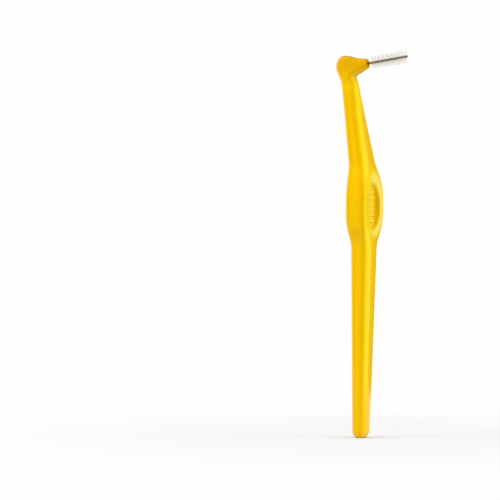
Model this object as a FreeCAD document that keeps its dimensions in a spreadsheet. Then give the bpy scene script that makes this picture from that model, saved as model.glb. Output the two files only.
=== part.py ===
import FreeCAD, Part
import math
import os

import Sketcher
from FreeCAD import Placement, Rotation, Vector

# Interdental brush with an angled head, standing upright as it is held.
# +Z runs up the handle from tail to head, +X is the way the nose and the wire point,
# and the handle is symmetric left and right of the XZ plane.
# The origin is the middle of the grip. Sizes are in millimetres and degrees.

# Driving dimensions

handle_sizes = [
    ("tail_drop", "58.4", "grip centre down to the tail end"),
    ("tail_thickness", "3.65", "handle thickness at the tail"),
    ("tail_width", "5.25", "handle width at the tail"),
    ("tail_round", "2.2", "height over which the tail end is rounded"),
    ("shaft_thickness", "5.2", "thickness where the shaft meets the grip"),
    ("shaft_width", "7.7", "width where the shaft meets the grip"),
    ("grip_below", "10.5", "grip centre down to the shaft"),
    ("grip_above", "11.3", "grip centre up to the neck"),
    ("grip_width", "12.7", "widest place of the grip"),
    ("grip_crest", "6.85", "crown to crown at the grip centre, before the pads are cut"),
    ("pad_thickness", "5.25", "front pad to back pad"),
    ("neck_thickness", "5.25", "thickness where the neck leaves the grip"),
    ("neck_width", "8.1", "width where the neck leaves the grip"),
    ("slim_height", "26.7", "grip centre up to the slimmest place of the neck"),
    ("slim_thickness", "4.3", "thickness there"),
    ("slim_width", "4.4", "width there"),
    ("neck_top", "31.0", "grip centre up to the head"),
    ("neck_top_thickness", "4.05", "thickness under the head"),
    ("neck_top_width", "3.7", "width under the head"),
    ("bend_height", "6.25", "grip centre up to the corner of the bend"),
    ("bend_radius", "40", "radius of the bend along the centre line"),
    ("corner_radius", "1.1", "rounding of the four long edges"),
    ("cut_overrun", "2", "how far a cutter runs past what it cuts"),
]
head_sizes = [
    ("head_rise", "6.9", "neck top up to the top of the head"),
    ("head_width", "4.6", "width of the head"),
    ("head_corner", "1.3", "rounding of the head's edges"),
    ("nose_reach", "4.97", "neck centre forward to the nose end"),
    ("nose_rise", "5.0", "neck top up to the centre of the nose end"),
    ("heel_reach", "3.3", "neck centre back to the heel of the head"),
    ("nose_diameter", "2.4", "nose end across"),
    ("nose_round", "0.22", "rounding of the nose end's edge"),
]
recess_sizes = [
    ("recess_length", "11.6", "thumb recess, along the handle"),
    ("recess_width", "7.7", "thumb recess, across"),
    ("recess_depth", "1.1", "thumb recess, below the front pad"),
    ("recess_rim", "0.3", "rounding of its rim and of its floor"),
    ("rib_length", "3.9", "thumb rib, across the handle"),
    ("rib_width", "0.65", "thumb rib, along the handle"),
    ("rib_height", "0.4", "thumb rib, above the recess floor"),
    ("rib_round", "0.15", "rounding of the rib's top edge"),
    ("rib_pitch", "1.45", "rib to rib"),
]
brush_sizes = [
    ("wire_diameter", "0.25", "bare wire"),
    ("coating_thickness", "0.03", "plastic skin on the wire"),
    ("twist_pitch", "1.5", "one turn of the twist"),
    ("wire_reach", "11.0", "nose end out to the tip of the wire"),
    ("wire_embed", "5.9", "nose end in to the ends of the wire"),
    ("bore_clearance", "0.02", "between the twisted pair and its bore"),
    ("filament_diameter", "0.08", "one filament"),
    ("filament_clearance", "0.004", "between a filament and each leg of the wire"),
    ("filament_spacing", "0.1", "filament to filament along the wire"),
    ("bristle_start", "1.0", "nose end out to the first filament"),
    ("bristle_base", "3.3", "brush across at the nose"),
    ("bristle_tip", "3.65", "brush across at the tip"),
]
angles_and_shares = [
    ("tail_lean", "0.95", "lean of the tail half, in degrees"),
    ("neck_lean", "9.3", "lean of the neck, in degrees"),
    ("wire_tilt", "9.3", "climb of the wire and nose, in degrees"),
    ("crown_share", "0.11", "rise of the crowned front and back, of the width"),
    ("crown_limit_share", "0.13", "most that the crown rises, of the thickness"),
    ("corner_limit_share", "0.36", "most that a long edge is rounded, of the thickness"),
    ("nose_flat_share", "0.08", "least of the nose that is left flat between its rounded edges"),
    ("tail_end_thickness_share", "0.38", "flat at the tail end, of the tail thickness"),
    ("tail_end_width_share", "0.56", "flat at the tail end, of the tail width"),
    ("swell_rise_below", "3.1", "how late the grip's swell falls off towards the shaft"),
    ("swell_fall_below", "2.2", "how steeply it falls"),
    ("swell_rise_above", "3.1", "how late the grip's swell falls off towards the neck"),
    ("swell_fall_above", "1.9", "how steeply it falls"),
    ("rib_count", "6", "ribs in the thumb recess"),
]

doc = FreeCAD.newDocument("interdental_brush")
sheet = doc.addObject("Spreadsheet::Sheet", "sizes")
all_sizes = handle_sizes + head_sizes + recess_sizes + brush_sizes + angles_and_shares
for row, (alias, value, meaning) in enumerate(all_sizes, start=1):
    sheet.set(f"A{row}", alias)
    sheet.set(f"B{row}", value)
    sheet.setAlias(f"B{row}", alias)
    sheet.set(f"C{row}", meaning)
doc.recompute()


def number(expression):
    """What an expression on the sheet's cells comes to, as a plain number."""
    value = sheet.evalExpression(expression)
    return float(getattr(value, "Value", value))


def origin_plane(body, role):
    """One of a body's own origin planes."""
    return [f for f in body.Origin.OriginFeatures if f.Role == role][0]


def new_sketch(body, name, role):
    """A sketch on one of its body's origin planes."""
    sketch = body.newObject("Sketcher::SketchObject", name)
    sketch.AttachmentSupport = (origin_plane(body, role), [""])
    sketch.MapMode = "FlatFace"
    return sketch


def name_constraint(sketch, constraint, name, expression):
    """Adds a constraint with a datum, names it and binds it to the sheet."""
    sketch.renameConstraint(sketch.addConstraint(constraint), name)
    sketch.setExpression(f"Constraints.{name}", expression)


# Handle
# One moulding. Its body is a loft through crowned sections with rounded corners: flat sides,
# and a front and back that bulge a little. The centre line runs straight up to the grip,
# bends back and runs straight along the neck.

handle = doc.addObject("PartDesign::Body", "handle")
handle.Label = "handle"


def centre_line(height):
    """The centre line's forward offset at a height, as an expression: a leaning line below
    the origin, then upright, then an arc, then the leaning line of the neck."""
    arc_start = "(sizes.bend_height - sizes.bend_radius * tan(sizes.neck_lean * 0.5 deg))"
    arc_end = f"({arc_start} + sizes.bend_radius * sin(sizes.neck_lean * 1 deg))"
    if number(height) <= 0:
        return f"({height}) * tan(sizes.tail_lean * 1 deg)"
    if number(height) <= number(arc_start):
        return "0"
    if number(height) < number(arc_end):
        rise = f"(({height}) - {arc_start})"
        return f"-(sizes.bend_radius - sqrt(pow(sizes.bend_radius; 2) - pow({rise}; 2)))"
    return f"-(({height}) - sizes.bend_height) * tan(sizes.neck_lean * 1 deg)"


def section(name, forward, height, tilt, thickness, width, corner):
    """One loft section, given as expressions. In the sketch, x runs from back to front.
    The front and back are arcs that rise above the chord by a share of the width, the sides
    are straight, and four corner arcs are tangent to both."""
    sketch = new_sketch(handle, name, "XY_Plane")
    sketch.addProperty("App::PropertyLength", "Thickness")
    sketch.addProperty("App::PropertyLength", "Width")
    sketch.addProperty("App::PropertyLength", "Corner")
    sketch.addProperty("App::PropertyLength", "Crown")
    rise = f"min(sizes.crown_share * ({width}); sizes.crown_limit_share * ({thickness}))"
    crown = f"pow({width}; 2) / (8 * {rise}) + {rise} / 2"
    sketch.setExpression("Thickness", thickness)
    sketch.setExpression("Width", width)
    sketch.setExpression("Corner", corner)
    sketch.setExpression("Crown", crown)
    tilt_axis = Rotation(Vector(0, 1, 0), number(tilt))
    place = Vector(number(forward), 0, number(height))
    sketch.AttachmentOffset = Placement(place, tilt_axis)
    sketch.setExpression("AttachmentOffset.Base.x", forward)
    sketch.setExpression("AttachmentOffset.Base.z", height)
    sketch.setExpression("AttachmentOffset.Rotation.Angle", tilt)

    half_thickness = number(thickness) / 2
    half_width = number(width) / 2
    corner_radius = number(corner)
    crown_radius = number(crown)
    up = Vector(0, 0, 1)
    corner_y = half_width - corner_radius
    crown_x = half_thickness - crown_radius
    corner_x = crown_x + math.sqrt((crown_radius - corner_radius) ** 2 - corner_y**2)
    turn = math.atan2(corner_y, corner_x - crown_x)

    def arc(x, y, radius, start, end):
        return Part.ArcOfCircle(Part.Circle(Vector(x, y, 0), up, radius), start, end)

    quarter = math.pi / 2
    front, left_front, left, left_back, back, right_back, right, right_front = range(8)
    sketch.addGeometry(
        [
            arc(crown_x, 0, crown_radius, -turn, turn),
            arc(corner_x, corner_y, corner_radius, turn, quarter),
            Part.LineSegment(Vector(corner_x, half_width, 0), Vector(-corner_x, half_width, 0)),
            arc(-corner_x, corner_y, corner_radius, quarter, 2 * quarter - turn),
            arc(-crown_x, 0, crown_radius, 2 * quarter - turn, 2 * quarter + turn),
            arc(-corner_x, -corner_y, corner_radius, 2 * quarter + turn, 3 * quarter),
            Part.LineSegment(Vector(-corner_x, -half_width, 0), Vector(corner_x, -half_width, 0)),
            arc(corner_x, -corner_y, corner_radius, 3 * quarter, 4 * quarter - turn),
        ],
        False,
    )
    outline = [front, left_front, left, left_back, back, right_back, right, right_front]
    for edge, after in zip(outline, outline[1:] + outline[:1]):
        sketch.addConstraint(Sketcher.Constraint("Tangent", edge, 2, after, 1))
    for line in (left, right):
        sketch.addConstraint(Sketcher.Constraint("Horizontal", line))
    for curve in (front, back):
        sketch.addConstraint(Sketcher.Constraint("PointOnObject", curve, 3, -1))
    sketch.addConstraint(Sketcher.Constraint("Equal", front, back))
    for curve in (left_back, right_back, right_front):
        sketch.addConstraint(Sketcher.Constraint("Equal", left_front, curve))
    radius = Sketcher.Constraint("Radius", front, crown_radius)
    name_constraint(sketch, radius, "crown_radius", "Crown")
    radius = Sketcher.Constraint("Radius", left_front, corner_radius)
    name_constraint(sketch, radius, "corner", "Corner")
    reach = Sketcher.Constraint("DistanceY", -1, 1, left, 1, half_width)
    name_constraint(sketch, reach, "half_width_left", "Width / 2")
    reach = Sketcher.Constraint("DistanceY", right, 1, -1, 1, half_width)
    name_constraint(sketch, reach, "half_width_right", "Width / 2")
    reach = Sketcher.Constraint("DistanceX", front, 3, -1, 1, -crown_x)
    name_constraint(sketch, reach, "front_centre", "Crown - Thickness / 2")
    reach = Sketcher.Constraint("DistanceX", -1, 1, back, 3, -crown_x)
    name_constraint(sketch, reach, "back_centre", "Crown - Thickness / 2")
    return sketch


def between(low, high, share):
    """The expression a share of the way from one size to another."""
    return f"({low} + ({high} - {low}) * {share})"


def level_section(name, height, thickness, width):
    """A level section of the shaft, grip or neck, on the centre line."""
    corner = f"min(sizes.corner_radius; sizes.corner_limit_share * ({thickness}))"
    return section(name, centre_line(height), height, "0 deg", thickness, width, corner)


# Tail end: the insets follow a quarter of an ellipse, from the small flat that it can stand on
# up to the full section.
tail_turn_shares = (0, 0.22, 0.45, 0.7, 1)
tail_sections = []
for step, turn_share in enumerate(tail_turn_shares):
    turned = f"sin({turn_share} * 90 deg)"
    climbed = f"(1 - cos({turn_share} * 90 deg))"
    height = f"(-sizes.tail_drop + sizes.tail_round * {climbed})"
    thickness = between(
        "sizes.tail_thickness * sizes.tail_end_thickness_share", "sizes.tail_thickness", turned
    )
    width = between(
        "sizes.tail_width * sizes.tail_end_width_share", "sizes.tail_width", turned
    )
    tail_sections.append(level_section(f"tail_end_{step + 1}", height, thickness, width))

# Grip: an oval paddle, in even steps. It swells from the shaft's section to the grip's and back
# to the neck's by (1 - share^rise)^fall, where the share runs from the grip's middle outward.
grip_sections = []
below_steps = 7
for step in range(below_steps):
    share = 1 - step / below_steps
    height = f"(-sizes.grip_below * {share})"
    swell = f"pow(1 - pow({share}; sizes.swell_rise_below); sizes.swell_fall_below)"
    thickness = between("sizes.shaft_thickness", "sizes.grip_crest", swell)
    width = between("sizes.shaft_width", "sizes.grip_width", swell)
    grip_sections.append(level_section(f"grip_low_{step + 1}", height, thickness, width))
above_steps = 7
for step in range(above_steps):
    share = step / above_steps
    height = f"(sizes.grip_above * {share})"
    swell = f"pow(1 - pow({share}; sizes.swell_rise_above); sizes.swell_fall_above)"
    thickness = between("sizes.neck_thickness", "sizes.grip_crest", swell)
    width = between("sizes.neck_width", "sizes.grip_width", swell)
    grip_sections.append(level_section(f"grip_high_{step + 1}", height, thickness, width))

# Neck: it slims evenly, then keeps its thickness up to the head while its width draws in.
neck_sections = []
slim_steps = 9
for step in range(slim_steps):
    share = step / slim_steps
    height = between("sizes.grip_above", "sizes.slim_height", share)
    thickness = between("sizes.neck_thickness", "sizes.slim_thickness", share)
    width = between("sizes.neck_width", "sizes.slim_width", share)
    neck_sections.append(level_section(f"neck_{step + 1}", height, thickness, width))
top_steps = 3
for step in range(top_steps):
    share = step / top_steps
    height = between("sizes.slim_height", "sizes.neck_top", share)
    thickness = between("sizes.slim_thickness", "sizes.neck_top_thickness", share)
    width = between("sizes.slim_width", "sizes.neck_top_width", share)
    neck_sections.append(level_section(f"neck_high_{step + 1}", height, thickness, width))
neck_sections.append(
    level_section(
        "neck_top", "sizes.neck_top", "sizes.neck_top_thickness", "sizes.neck_top_width"
    )
)

# Head: the sections fan round the inner corner, from level at the neck to square across the
# nose. Each row places the section's inner end, on the neck's front and the nose's underside,
# and its outer end, on the heel and the top. Forward shares are of the nose's reach, back
# shares of the heel's reach and up shares of the head's rise; the last is of its width.
head_fan_shares = [
    ((0.298, 0.174), (0, 0.77, 0.246), 1.0),
    ((0.323, 0.268), (0, 0.99, 0.507), 1.0),
    ((0.402, 0.312), (0, 0.95, 0.794), 1.0),
    ((0.474, 0.333), (0, 0.62, 0.984), 0.97),
    ((0.563, 0.362), (0, 0.1, 0.991), 0.9),
    ((0.664, 0.406), (0.242, 0, 0.942), 0.8),
    ((0.785, 0.457), (0.524, 0, 0.909), 0.68),
    ((0.916, 0.5), (0.805, 0, 0.903), 0.565),
]
rounded = "((1 - sizes.nose_flat_share) / 2)"
neck_centre = f"({centre_line('sizes.neck_top')})"
for step, (inner, outer, width_share) in enumerate(head_fan_shares):
    inner_forward = f"sizes.nose_reach * {inner[0]}"
    inner_up = f"sizes.head_rise * {inner[1]}"
    outer_forward = f"(sizes.nose_reach * {outer[0]} - sizes.heel_reach * {outer[1]})"
    outer_up = f"sizes.head_rise * {outer[2]}"
    across = f"({inner_forward} - {outer_forward})"
    climb = f"({outer_up} - {inner_up})"
    thickness = f"sqrt(pow({across}; 2) + pow({climb}; 2))"
    width = f"sizes.head_width * {width_share}"
    neck_sections.append(
        section(
            f"head_{step + 1}",
            f"{neck_centre} + ({inner_forward} + {outer_forward}) / 2",
            f"sizes.neck_top + ({inner_up} + {outer_up}) / 2",
            f"atan2({climb}; {across})",
            thickness,
            width,
            f"min(sizes.head_corner; {rounded} * {width}; {rounded} * {thickness})",
        )
    )
nose_forward = f"({neck_centre} + sizes.nose_reach)"
nose_height = "(sizes.neck_top + sizes.nose_rise)"
nose_tilt = "90 deg - sizes.wire_tilt * 1 deg"


def nose_section(name, back, across):
    """A section square across the nose, some way back from its end."""
    return section(
        name,
        f"{nose_forward} - {back} * cos(sizes.wire_tilt * 1 deg)",
        f"{nose_height} - {back} * sin(sizes.wire_tilt * 1 deg)",
        nose_tilt,
        across,
        across,
        f"{rounded} * {across}",
    )


neck_sections.append(nose_section("nose", "sizes.nose_round", "sizes.nose_diameter"))

# Nose end: its edge is a quarter round.
nose_turn_shares = (0.35, 0.7, 1)
nose_sections = [neck_sections[-1]]
for step, turn_share in enumerate(nose_turn_shares):
    back = f"(sizes.nose_round * (1 - sin({turn_share} * 90 deg)))"
    inset = f"(2 * sizes.nose_round * (1 - cos({turn_share} * 90 deg)))"
    across = f"(sizes.nose_diameter - {inset})"
    nose_sections.append(nose_section(f"nose_end_{step + 1}", back, across))

# The lofts, from the tail up. Each begins on the section that the one before it ends on.
grip_sections.append(neck_sections[0])
lofts = [
    ("tail_end", tail_sections),
    ("shaft", [tail_sections[-1], grip_sections[0]]),
    ("grip", grip_sections),
    ("neck_and_head", neck_sections),
    ("nose_tip", nose_sections),
]
for name, sections in lofts:
    loft = handle.newObject("PartDesign::AdditiveLoft", name)
    loft.Profile = sections[0]
    loft.Sections = sections[1:]
    loft.Ruled = len(sections) == 2
doc.recompute()

# Pads: the crowned grip is planed flat on its front and back, parallel to the centre line and
# round the bend with it. Each cutter's inner edge is a line, an arc and a line.
pad_cutters = new_sketch(handle, "pad_cutters", "XZ_Plane")
bend_start = "(sizes.bend_height - sizes.bend_radius * tan(sizes.neck_lean * 0.5 deg))"
bend_turn = math.radians(number("sizes.neck_lean"))
cut_top = "(sizes.grip_above + sizes.cut_overrun)"
cut_outside = "(sizes.grip_crest / 2 + sizes.cut_overrun)"


def pad_cutter(side, label):
    """One closed outline in the side view, on the front for side 1 and the back for -1."""
    half_pad = number("sizes.pad_thickness") / 2
    outside = number(cut_outside)
    centre = Vector(-number("sizes.bend_radius"), number(bend_start), 0)
    radius = number("sizes.bend_radius") + side * half_pad
    foot = Vector(side * half_pad, -number("sizes.grip_below"), 0)
    bend_foot = Vector(side * half_pad, centre.y, 0)
    bend_head = centre + Vector(math.cos(bend_turn), math.sin(bend_turn), 0) * radius
    top = number(cut_top)
    run = (top - bend_head.y) * math.tan(bend_turn)
    head_end = Vector(bend_head.x - run, top, 0)
    outer_head = Vector(side * outside, top, 0)
    outer_foot = Vector(side * outside, foot.y, 0)
    circle = Part.Circle(centre, Vector(0, 0, 1), radius)
    line, arc, lean, across, back, closing = pad_cutters.addGeometry(
        [
            Part.LineSegment(foot, bend_foot),
            Part.ArcOfCircle(circle, 0, bend_turn),
            Part.LineSegment(bend_head, head_end),
            Part.LineSegment(head_end, outer_head),
            Part.LineSegment(outer_head, outer_foot),
            Part.LineSegment(outer_foot, foot),
        ],
        False,
    )
    pad_cutters.addConstraint(Sketcher.Constraint("Tangent", line, 2, arc, 1))
    pad_cutters.addConstraint(Sketcher.Constraint("Tangent", arc, 2, lean, 1))
    for first, after in ((lean, across), (across, back), (back, closing), (closing, line)):
        pad_cutters.addConstraint(Sketcher.Constraint("Coincident", first, 2, after, 1))
    for level in (across, closing):
        pad_cutters.addConstraint(Sketcher.Constraint("Horizontal", level))
    for upright in (line, back):
        pad_cutters.addConstraint(Sketcher.Constraint("Vertical", upright))
    ends = [(-1, 1), (line, 1)] if side > 0 else [(line, 1), (-1, 1)]
    datum = Sketcher.Constraint("DistanceX", *ends[0], *ends[1], half_pad)
    name_constraint(pad_cutters, datum, f"{label}_half_pad", "sizes.pad_thickness / 2")
    ends = [(-1, 1), (back, 1)] if side > 0 else [(back, 1), (-1, 1)]
    datum = Sketcher.Constraint("DistanceX", *ends[0], *ends[1], outside)
    name_constraint(pad_cutters, datum, f"{label}_outside", cut_outside)
    datum = Sketcher.Constraint("DistanceY", line, 1, -1, 1, -foot.y)
    name_constraint(pad_cutters, datum, f"{label}_foot", "sizes.grip_below")
    datum = Sketcher.Constraint("DistanceY", -1, 1, across, 1, top)
    name_constraint(pad_cutters, datum, f"{label}_top", cut_top)
    datum = Sketcher.Constraint("DistanceX", arc, 3, -1, 1, -centre.x)
    name_constraint(pad_cutters, datum, f"{label}_bend_radius", "sizes.bend_radius")
    datum = Sketcher.Constraint("DistanceY", -1, 1, arc, 3, centre.y)
    name_constraint(pad_cutters, datum, f"{label}_bend_start", bend_start)
    datum = Sketcher.Constraint("Angle", -1, 1, lean, 1, math.pi / 2 + bend_turn)
    name_constraint(pad_cutters, datum, f"{label}_lean", "(90 + sizes.neck_lean) * 1 deg")


pad_cutter(1, "front")
pad_cutter(-1, "back")
pads = handle.newObject("PartDesign::Pocket", "pads")
pads.Profile = pad_cutters
pads.SideType = "Symmetric"
pads.setExpression("Length", "sizes.grip_width + 2 * sizes.cut_overrun")
doc.recompute()

# Thumb recess: an oval sunk into the front pad.
recess_outline = new_sketch(handle, "recess_outline", "YZ_Plane")
recess_outline.setExpression("AttachmentOffset.Base.z", "sizes.pad_thickness / 2")
half_length = number("sizes.recess_length / 2")
half_across = number("sizes.recess_width / 2")
oval = recess_outline.addGeometry(
    Part.Ellipse(Vector(0, half_length, 0), Vector(half_across, 0, 0), Vector(0, 0, 0)), False
)
recess_outline.exposeInternalGeometry(oval)
long_axis, short_axis = oval + 1, oval + 2
recess_outline.addConstraint(Sketcher.Constraint("Coincident", oval, 3, -1, 1))
recess_outline.addConstraint(Sketcher.Constraint("Vertical", long_axis))
datum = Sketcher.Constraint("Distance", long_axis, 2 * half_length)
name_constraint(recess_outline, datum, "length", "sizes.recess_length")
datum = Sketcher.Constraint("Distance", short_axis, 2 * half_across)
name_constraint(recess_outline, datum, "width", "sizes.recess_width")
recess = handle.newObject("PartDesign::Pocket", "recess")
recess.Profile = recess_outline
recess.setExpression("Length", "sizes.recess_depth")
doc.recompute()


def edges_within(shape, low, high, keep):
    """Names of the edges that lie in the box between two corners and that keep() accepts."""
    names = []
    for place, edge in enumerate(shape.Edges, start=1):
        box = edge.BoundBox
        inside = (
            low.x <= box.XMin and box.XMax <= high.x
            and low.y <= box.YMin and box.YMax <= high.y
            and low.z <= box.ZMin and box.ZMax <= high.z
        )
        if inside and keep(edge):
            names.append(f"Edge{place}")
    return names


def round_edges(name, feature, names, radius):
    """A fillet on named edges of a feature."""
    fillet = handle.newObject("PartDesign::Fillet", name)
    fillet.Base = (feature, names)
    fillet.Radius = number(radius)
    fillet.setExpression("Radius", radius)
    doc.recompute()
    return fillet


# Its rim and its floor are rounded.
play = number("sizes.recess_rim")
recess_low = Vector(
    number("sizes.pad_thickness / 2 - sizes.recess_depth") - play, -half_across - play,
    -half_length - play,
)
recess_high = Vector(
    number("sizes.pad_thickness / 2") + play, half_across + play, half_length + play
)
recess_edges = edges_within(
    recess.Shape, recess_low, recess_high,
    lambda edge: edge.BoundBox.XLength < number("sizes.recess_depth / 2")
    and edge.BoundBox.ZLength > number("sizes.recess_depth"),
)
soft_recess = round_edges("soft_recess", recess, recess_edges, "sizes.recess_rim")

# Thumb ribs: short bars with round ends, on the recess floor.
rib_outline = new_sketch(handle, "rib_outline", "YZ_Plane")
rib_foot = "(sizes.pad_thickness / 2 - sizes.recess_depth)"
rib_start = "(-(sizes.rib_count - 1) / 2 * sizes.rib_pitch)"
rib_outline.setExpression("AttachmentOffset.Base.z", rib_foot)
rib_outline.setExpression("AttachmentOffset.Base.y", rib_start)
end_radius = number("sizes.rib_width / 2")
end_centre = number("(sizes.rib_length - sizes.rib_width) / 2")
right_end = Part.Circle(Vector(end_centre, 0, 0), Vector(0, 0, 1), end_radius)
left_end = Part.Circle(Vector(-end_centre, 0, 0), Vector(0, 0, 1), end_radius)
right_cap, top_side, left_cap, low_side = rib_outline.addGeometry(
    [
        Part.ArcOfCircle(right_end, -math.pi / 2, math.pi / 2),
        Part.LineSegment(
            Vector(end_centre, end_radius, 0), Vector(-end_centre, end_radius, 0)
        ),
        Part.ArcOfCircle(left_end, math.pi / 2, 3 * math.pi / 2),
        Part.LineSegment(
            Vector(-end_centre, -end_radius, 0), Vector(end_centre, -end_radius, 0)
        ),
    ],
    False,
)
rib_order = [right_cap, top_side, left_cap, low_side]
for edge, after in zip(rib_order, rib_order[1:] + rib_order[:1]):
    rib_outline.addConstraint(Sketcher.Constraint("Tangent", edge, 2, after, 1))
rib_outline.addConstraint(Sketcher.Constraint("Horizontal", top_side))
rib_outline.addConstraint(Sketcher.Constraint("PointOnObject", right_cap, 3, -1))
rib_outline.addConstraint(Sketcher.Constraint("Symmetric", right_cap, 3, left_cap, 3, -1, 1))
datum = Sketcher.Constraint("Radius", right_cap, end_radius)
name_constraint(rib_outline, datum, "end_radius", "sizes.rib_width / 2")
datum = Sketcher.Constraint("DistanceX", -1, 1, right_cap, 3, end_centre)
name_constraint(rib_outline, datum, "end_centre", "(sizes.rib_length - sizes.rib_width) / 2")
rib = handle.newObject("PartDesign::Pad", "rib")
rib.Profile = rib_outline
rib.setExpression("Length", "sizes.rib_height")
doc.recompute()
ribs = handle.newObject("PartDesign::LinearPattern", "ribs")
ribs.Originals = [rib]
ribs.Direction = (rib_outline, ["V_Axis"])
ribs.setExpression("Length", "(sizes.rib_count - 1) * sizes.rib_pitch")
ribs.setExpression("Occurrences", "sizes.rib_count")
handle.Tip = ribs
doc.recompute()
rib_top = number(f"{rib_foot} + sizes.rib_height")
hair = number("sizes.rib_round") / 10
rib_edges = edges_within(
    ribs.Shape,
    Vector(rib_top - hair, -half_across, -half_length),
    Vector(rib_top + hair, half_across, half_length),
    lambda edge: True,
)
soft_ribs = round_edges("soft_ribs", ribs, rib_edges, "sizes.rib_round")

# Bore: the twisted wire runs into the nose along the nose's own line.
nose_centre = Vector(number(nose_forward), 0, number(nose_height))
bore_outline = new_sketch(handle, "bore_outline", "XY_Plane")
bore_outline.AttachmentOffset = Placement(
    nose_centre, Rotation(Vector(0, 1, 0), number(nose_tilt))
)
bore_outline.setExpression("AttachmentOffset.Base.x", nose_forward)
bore_outline.setExpression("AttachmentOffset.Base.z", nose_height)
bore_outline.setExpression("AttachmentOffset.Rotation.Angle", nose_tilt)
strand = "(sizes.wire_diameter + 2 * sizes.coating_thickness)"
twist_radius = f"({strand} / 2 + sizes.filament_diameter / 2 + sizes.filament_clearance)"
bore_radius = f"({twist_radius} + {strand} / 2 + sizes.bore_clearance)"
bore_circle = Part.Circle(Vector(0, 0, 0), Vector(0, 0, 1), number(bore_radius))
hole = bore_outline.addGeometry(bore_circle, False)
bore_outline.addConstraint(Sketcher.Constraint("Coincident", hole, 3, -1, 1))
datum = Sketcher.Constraint("Radius", hole, number(bore_radius))
name_constraint(bore_outline, datum, "radius", bore_radius)
bore = handle.newObject("PartDesign::Pocket", "bore")
bore.Profile = bore_outline
bore.setExpression("Length", "sizes.wire_embed + sizes.bore_clearance")
doc.recompute()
print("bore takes away", round(soft_ribs.Shape.Volume - bore.Shape.Volume, 3), "of",
      round(math.pi * number(bore_radius) ** 2 * number("sizes.wire_embed"), 3), "mm3")

# Wire
# One length, folded like a hairpin. The two legs wind round each other, half a turn apart, with
# just room for a filament between them, from the ends in the head out to the fold at the tip.
# Along the nose's line, leg 0 or 1 is at angle 2 pi share / pitch, plus pi for leg 1.

leg_radius = number(twist_radius)
strand_radius = number(f"{strand} / 2")
pitch = number("sizes.twist_pitch")
tilt = math.radians(number("sizes.wire_tilt"))
nose_frame = Placement(nose_centre, Rotation(Vector(0, 1, 0), -math.degrees(tilt)))


def leg_point(leg, reach):
    """Centre of one leg at a distance out from the nose end; x runs out, y and z across."""
    turn = 2 * math.pi * reach / pitch + math.pi * leg
    return Vector(reach, leg_radius * math.cos(turn), leg_radius * math.sin(turn))


def leg_direction(leg, reach):
    """Unit tangent of one leg there, outward."""
    turn = 2 * math.pi * reach / pitch + math.pi * leg
    side = leg_radius * 2 * math.pi / pitch
    return Vector(1, -side * math.sin(turn), side * math.cos(turn)).normalize()


def biarc(start, start_way, end, end_way):
    """Two arcs that share a tangent, between two points with given unit tangents."""
    span = end - start
    ways = start_way + end_way
    spread = 2 * (1 - start_way.dot(end_way))
    along_ways = span.dot(ways)
    reach = (math.sqrt(along_ways**2 + spread * span.dot(span)) - along_ways) / spread
    joint = (start + start_way * reach + end - end_way * reach) * 0.5
    joint_way = (end - end_way * reach - start - start_way * reach).normalize()
    arcs = []
    for point, way, after in ((start, start_way, joint), (joint, joint_way, end)):
        chord = after - point
        across = chord - way * chord.dot(way)
        bulge = chord.dot(chord) / (2 * across.Length)
        centre = point + across.normalize() * bulge
        half_chord = (point + after) * 0.5
        middle = centre + (half_chord - centre).normalize() * bulge
        if chord.dot(way) < 0:
            middle = centre - (half_chord - centre).normalize() * bulge
        arcs.append(Part.Arc(point, middle, after).toShape())
    return arcs


# The fold bulges out past the twist by about the legs' radius, and half the wire's thickness
# lies beyond its centre line.
inner_end = -number("sizes.wire_embed")
twist_end = number("sizes.wire_reach") - leg_radius - strand_radius
quarters = round(4 * (twist_end - inner_end) / pitch)
stops = [inner_end + (twist_end - inner_end) * step / quarters for step in range(quarters + 1)]
path_edges = []
for near, far in zip(stops, stops[1:]):
    path_edges += biarc(
        leg_point(0, near), leg_direction(0, near), leg_point(0, far), leg_direction(0, far)
    )
fold = biarc(
    leg_point(0, twist_end), leg_direction(0, twist_end),
    leg_point(1, twist_end), leg_direction(1, twist_end) * -1,
)
path_edges += fold
for far, near in zip(stops[::-1], stops[-2::-1]):
    path_edges += biarc(
        leg_point(1, far), leg_direction(1, far) * -1,
        leg_point(1, near), leg_direction(1, near) * -1,
    )
wire_path = doc.addObject("Part::Feature", "wire_path")
wire_path.Shape = Part.Wire(path_edges)
wire_path.Placement = nose_frame
first_point = nose_frame.multVec(leg_point(0, inner_end))
first_way = nose_frame.Rotation.multVec(leg_direction(0, inner_end))


def tube(name, radius):
    """A solid of round section along the whole wire."""
    ring = doc.addObject("Part::Circle", f"{name}_section")
    ring.setExpression("Radius", radius)
    ring.Placement = Placement(first_point, Rotation(Vector(0, 0, 1), first_way))
    sweep = doc.addObject("Part::Sweep", name)
    sweep.Sections = [ring]
    sweep.Spine = (wire_path, [f"Edge{place + 1}" for place in range(len(path_edges))])
    sweep.Solid = True
    return sweep


wire_core = tube("wire_core", "sizes.wire_diameter / 2")
wire_core.Label = "wire_core"
coated_wire = tube("coated_wire", "sizes.wire_diameter / 2 + sizes.coating_thickness")
wire_coating = doc.addObject("Part::Cut", "wire_coating")
wire_coating.Base = coated_wire
wire_coating.Tool = wire_core
wire_coating.Label = "wire_coating"
doc.recompute()

samples = 20
shifts = [pitch / 2 * step / samples for step in range(-samples, samples + 1)]
closest = min(
    leg_point(0, reach).distanceToPoint(leg_point(1, reach + shift))
    for reach in stops
    for shift in shifts
)
print("legs of the wire clear each other by", round(closest - 2 * strand_radius, 4), "mm")

# Filaments
# Straight bristles, each through the middle of the twist and square to the line between the two
# legs there, so that together they make a helical brush. They grow a little towards the tip.
# Each turn of the twist is one group of separate bristles.

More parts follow.
